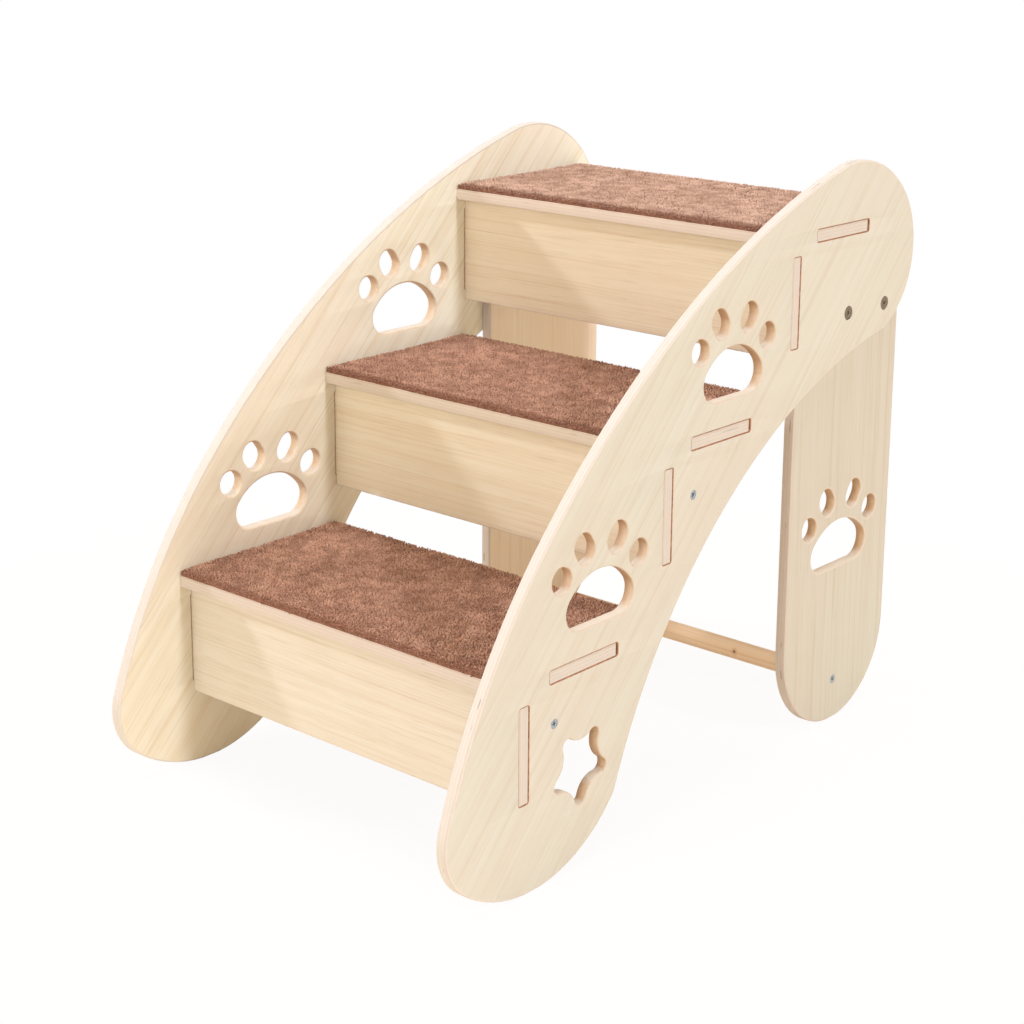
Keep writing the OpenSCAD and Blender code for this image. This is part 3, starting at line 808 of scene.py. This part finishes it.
def places(spots):  # a mesh of loose points: place, heading and turn of each
    mesh = bpy.data.meshes.new("places")
    mesh.from_pydata([place for place, _, _ in spots], [], [])
    mesh.attributes.new("heading", "FLOAT_VECTOR", "POINT")
    mesh.attributes.new("turn", "FLOAT", "POINT")
    for n, (_, way, angle) in enumerate(spots):
        mesh.attributes["heading"].data[n].vector = way
        mesh.attributes["turn"].data[n].value = angle
    return mesh


def solids(node):  # the boxes of a node's separate solids
    bm = nodeMesh(node)
    left, boxes = set(bm.verts), []
    while left:
        group, reach = set(), [left.pop()]
        while reach:
            vert = reach.pop()
            group.add(vert)
            for edge in vert.link_edges:
                other = edge.other_vert(vert)
                if other in left:
                    left.discard(other)
                    reach.append(other)
        cos = [vert.co for vert in group]
        boxes.append((Vector([min(c[i] for c in cos) for i in range(3)]),
                      Vector([max(c[i] for c in cos) for i in range(3)])))
    bm.free()
    return sorted(boxes, key=lambda box: tuple(box[0] + box[1]))


standFasteners = fastenerTree("standFasteners")


def fasteners(name, node, thing, material, inward=False):
    spots = []
    for turn, (low, high) in zip(fastenerLook["turns"][node], solids(node)):
        side = 1 if low.x + high.x > 0 else -1
        way = -side if inward else side
        x = high.x if way > 0 else low.x
        spots.append((Vector((x, (low.y + high.y) / 2, (low.z + high.z) / 2)), Vector((way, 0, 0)), turn))
    mesh = grown(name, places(spots), standFasteners, Fastener=thing, Size=1.0, Metal=material)
    keep(name, mesh, (), node)


def lengthBehindHead(node):
    low, high = solids(node)[0]
    return high.x - low.x - fastenerLook["headThick"]


bolt = socketHead("bolt", fastenerLook["boltShank"] / 2, lengthBehindHead("leg_bolts"))
nut = socketHead("nut", fastenerLook["nutBarrel"] / 2, lengthBehindHead("leg_nuts"))
fasteners("panelScrews", "panel_screws", countersunkScrew(), steel)
fasteners("legScrews", "leg_screws", countersunkScrew(), steel)
fasteners("legBolts", "leg_bolts", bolt, bronze)
fasteners("legNuts", "leg_nuts", nut, bronze, True)
print("fasteners made")


carpetMake = {
    "grid": 2.6 * mm,
    "core": 5.4 * mm,                 # thickness of the felted ground below the tufts
    "unevenness": 0.5 * mm,
    "waves": 7, "waveFine": 60,
    "edge": 2.0 * mm,
    "edgeWave": 1.2 * mm, "frontWave": 0.5,   # how far the rear edge wanders, and the front's share of it
    "sideRoom": 1.0 * mm,             # kept clear of the side panels
    "frontRoom": 0.5 * mm,
    "behind": 4.0 * mm,               # how far the pile spreads behind
    "rearLift": 2.0 * mm,             # how much thicker it is there
    "spacing": 2.1 * mm,
    "mostTufts": 1e6,                 # in a square metre
    "lean": 0.5,
    "leastSize": (0.8, 0.8, 0.75), "mostSize": (1.25, 1.25, 1.2),
    "tuftTall": 2.4 * mm,
    "tuftWide": 1.15 * mm,
    "tuftSides": 3,
    "tuftRings": ((0.75, 0, 0), (1, 0.5, 0.55), (0.62, 0.88, 0.9)),   # width, height and "rise", as shares
    "seeds": {"ground": 11, "pile": 5, "tilt": 1, "size": 2, "shade": 3},
}


def tuftObject():
    look, sides = carpetMake, carpetMake["tuftSides"]
    bm = bmesh.new()
    rise = bm.verts.layers.float.new("rise")
    rows = []
    for radius, height, share in look["tuftRings"]:
        row = []
        for i in range(sides):
            angle = math.tau * i / sides
            vert = bm.verts.new((math.cos(angle) * radius * look["tuftWide"],
                                 math.sin(angle) * radius * look["tuftWide"], height * look["tuftTall"]))
            vert[rise] = share
            row.append(vert)
        rows.append(row)
    tip = bm.verts.new((0, 0, look["tuftTall"]))
    tip[rise] = 1
    for near, far in zip(rows, rows[1:]):
        band(bm, near, far)
    for i in range(sides):
        bm.faces.new((rows[-1][i], rows[-1][(i + 1) % sides], tip))
    for face in bm.faces:
        face.smooth = True
    mesh = bpy.data.meshes.new("tuft")
    bm.to_mesh(mesh)
    bm.free()
    return bpy.data.objects.new("tuft", mesh)


# Sows leaning tufts over the faces whose "sown" is 1
def pileTree(name):
    look, seeds = carpetMake, carpetMake["seeds"]
    g = Grower(name, Tuft="Object", Spacing="Float", Lean="Float", Seed="Int", Yarn="Material")
    points = g.add("GeometryNodeDistributePointsOnFaces", {"distribute_method": "POISSON"},
                   {"Mesh": g.start, "Distance Min": g.start.sibling("Spacing"),
                    "Density Max": look["mostTufts"], "Density Factor": g.named("sown", "FLOAT"),
                    "Seed": g.start.sibling("Seed")})
    lean = g.start.sibling("Lean")
    back = lean * -1
    least = g.add("ShaderNodeCombineXYZ", None, {0: back, 1: back, 2: -math.pi})
    most = g.add("ShaderNodeCombineXYZ", None, {0: lean, 1: lean, 2: math.pi})
    tilt = g.add("FunctionNodeEulerToRotation", None, {"Euler": g.between(least, most, seeds["tilt"])})
    tufts = g.stand(points, "Tuft", g.turn(points.sibling("Rotation"), tilt),
                    g.between(look["leastSize"], look["mostSize"], seeds["size"]))
    shade = g.add("FunctionNodeRandomValue", {"data_type": "FLOAT"}, {"Seed": seeds["shade"]})
    shaded = g.add("GeometryNodeStoreNamedAttribute", {"data_type": "FLOAT", "domain": "INSTANCE"},
                   {"Geometry": tufts, "Name": "tuft", "Value": shade})
    return g.end(shaded, "Yarn")


def wander(x, y, seed):  # slow unevenness from a few fixed waves
    spin, waves, fine = random.Random(seed), carpetMake["waves"], carpetMake["waveFine"]
    total = 0
    for _ in range(waves):
        a, b, c = spin.uniform(-fine, fine), spin.uniform(-fine, fine), spin.uniform(0, math.tau)
        total += math.sin(a * x + b * y + c)
    return total / waves


# The felted ground of a carpet: a closed sheet with rounded, slightly wavy edges
def carpetGround(name, low, high, seed):
    look = carpetMake
    x0, x1 = low.x + look["sideRoom"], high.x - look["sideRoom"]
    y0, y1 = low.y + look["frontRoom"], high.y + look["behind"]
    columns, rows = round((x1 - x0) / look["grid"]), round((y1 - y0) / look["grid"])
    bm = bmesh.new()
    sown = bm.verts.layers.float.new("sown")

    def point(i, j, top):
        x, y = x0 + (x1 - x0) * i / columns, y0 + (y1 - y0) * j / rows
        wave = wander(x, 0, seed) * look["edgeWave"]
        y += wave * (1 if j > rows / 2 else look["frontWave"]) * abs(2 * j / rows - 1)
        nearest = min(i, columns - i, j, rows - j) * look["grid"]
        drop = look["edge"] * max(0, 1 - nearest / (2 * look["edge"])) ** 2
        drop -= look["rearLift"] * max(0, 2 * j / rows - 1) ** 2
        z = low.z + (look["core"] + wander(x, y, seed + 1) * look["unevenness"] - drop if top else 0)
        return Vector((x, y, z))

    layers = {}
    for top in (False, True):
        for i in range(columns + 1):
            for j in range(rows + 1):
                vert = bm.verts.new(point(i, j, top))
                vert[sown] = 1.0 if top else 0.0
                layers[i, j, top] = vert
    for i in range(columns):
        for j in range(rows):
            for top in (False, True):
                corners = (i, j), (i + 1, j), (i + 1, j + 1), (i, j + 1)
                ring = [layers[a, b, top] for a, b in corners]
                bm.faces.new(ring if top else ring[::-1]).smooth = True
    rim = [(i, 0) for i in range(columns)] + [(columns, j) for j in range(rows)]
    rim += [(i, rows) for i in range(columns, 0, -1)] + [(0, j) for j in range(rows, 0, -1)]
    band(bm, [layers[i, j, False] for i, j in rim], [layers[i, j, True] for i, j in rim])
    bmesh.ops.recalc_face_normals(bm, faces=bm.faces)
    return meshOf(name, bm, 60)


tuft, sowing, seeds = tuftObject(), pileTree("sowPile"), carpetMake["seeds"]
for number, step in enumerate(("bottom", "middle", "top")):
    low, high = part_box(step + "_carpet")
    ground = carpetGround(step + "Carpet", low, high, seeds["ground"] + number)
    tufts = grown(step + "Pile", ground.copy(), sowing, Tuft=tuft, Spacing=carpetMake["spacing"],
                  Lean=carpetMake["lean"], Seed=seeds["pile"] + number,
                  Yarn=pileFinish(step + "CarpetPile", low.y, carpetLook["tintsAndPaintedSheen"][step]))
    print(step, "pile triangles:", sum(len(p.vertices) - 2 for p in tufts.polygons))
    sheet = keep(step + "Carpet", ground, (groundShade,), step + "_carpet")
    fringe = keep(step + "Pile", tufts, (), step + "_carpet")
print("carpets made")


studio = {
    "ambient": 0.58,
    "ambientColour": (1.0, 0.69, 0.38, 1),
    "lampColour": (1.0, 1.0, 1.02),
    # Distant lights: strength, azimuth, height angle and width in degrees
    "right": (1.16, 90, 36, 5),
    "left": (1.15, -67, 27, 5),
    "front": (0.55, 5, 21, 40),
    "top": (1.3, 0, 88, 30),
    "lampFar": 3,
    "floorColour": colour(252, 242, 225),
    "floorReach": 9,
    "floorShow": 0.93,                # share of plain white that the camera sees by the object
    "floorFade": (0.3, 1.0),          # from where to where the floor fades to plain white
}


def lamp(name, strength, azimuth, height, width):
    azimuth, height = math.radians(azimuth), math.radians(height)
    light = bpy.data.lights.new(name, "SUN")
    light.energy, light.angle, light.color = strength, math.radians(width), studio["lampColour"]
    thing = bpy.data.objects.new(name, light)
    level = math.cos(height)
    way = Vector((math.sin(azimuth) * level, -math.cos(azimuth) * level, math.sin(height)))
    thing.location = way * studio["lampFar"]
    thing.rotation_euler = way.to_track_quat("Z", "Y").to_euler()
    bpy.context.scene.collection.objects.link(thing)


for name in ("right", "left", "front", "top"):
    lamp(name + "Light", *studio[name])

# The world lights the object plainly, and shows white to the camera and to what reflects
world = bpy.data.worlds.new("studio")
bpy.context.scene.world = world
world.use_nodes = True
sky = Graph(world.node_tree)
dim = sky.add("ShaderNodeBackground", None,
              {"Color": studio["ambientColour"], "Strength": studio["ambient"]})
bright = sky.add("ShaderNodeBackground", None, {"Color": white, "Strength": 1.0})
both = sky.add("ShaderNodeMixShader", None, {0: sky.seen(), 1: dim, 2: bright})
sky.add("ShaderNodeOutputWorld", None, {"Surface": both})

reach = studio["floorReach"]
floorMesh = bpy.data.meshes.new("floor")
floorMesh.from_pydata([(-reach, -reach, 0), (reach, -reach, 0), (reach, reach, 0), (-reach, reach, 0)],
                      [], [(0, 1, 2, 3)])
floor = bpy.data.objects.new("floor", floorMesh)
bpy.context.scene.collection.objects.link(floor)
pale = Finish("paleFloor")
matte = pale.add("ShaderNodeBsdfDiffuse", None, {"Color": studio["floorColour"]})
plain = pale.add("ShaderNodeEmission", None, {"Color": white, "Strength": 1.0})
away = pale.vectors("LENGTH", pale.place())
show = pale.seen() * pale.span(away, *studio["floorFade"], studio["floorShow"], 1.0)
pale.add("ShaderNodeOutputMaterial", None,
         {"Surface": pale.add("ShaderNodeMixShader", None, {0: show, 1: matte, 2: plain})})
floorMesh.materials.append(pale.material)
print("studio set")


# The camera stands at the photograph's place
view = {
    "place": (1.3055, -1.4963, 0.8806),
    "yaw": 0.6843, "pitch": 0.2401, "roll": 0.0163,
    "focal": 2026.69, "centre": (594.72, 374.58), "frame": 1024,   # in pixels of the photograph
    "sensor": 36, "clip": (0.05, 50),
}
yaw, pitch, roll = view["yaw"], view["pitch"], view["roll"]
back = Vector((math.sin(yaw) * math.cos(pitch), -math.cos(yaw) * math.cos(pitch), math.sin(pitch)))
right = Vector((math.cos(yaw), math.sin(yaw), 0))
up = back.cross(right)
right, up = (math.cos(roll) * right + math.sin(roll) * up, math.cos(roll) * up - math.sin(roll) * right)
lens = bpy.data.cameras.new("camera")
lens.sensor_fit, lens.sensor_width = "HORIZONTAL", view["sensor"]
lens.lens = view["sensor"] * view["focal"] / view["frame"]
lens.shift_x = (view["frame"] / 2 - view["centre"][0]) / view["frame"]
lens.shift_y = (view["centre"][1] - view["frame"] / 2) / view["frame"]
lens.clip_start, lens.clip_end = view["clip"]
eye = bpy.data.objects.new("camera", lens)
eye.matrix_world = Matrix.Translation(view["place"]) @ Matrix((right, up, back)).transposed().to_4x4()
bpy.context.scene.collection.objects.link(eye)
bpy.context.scene.camera = eye
bpy.context.scene.view_settings.view_transform = "Standard"
print("camera set")
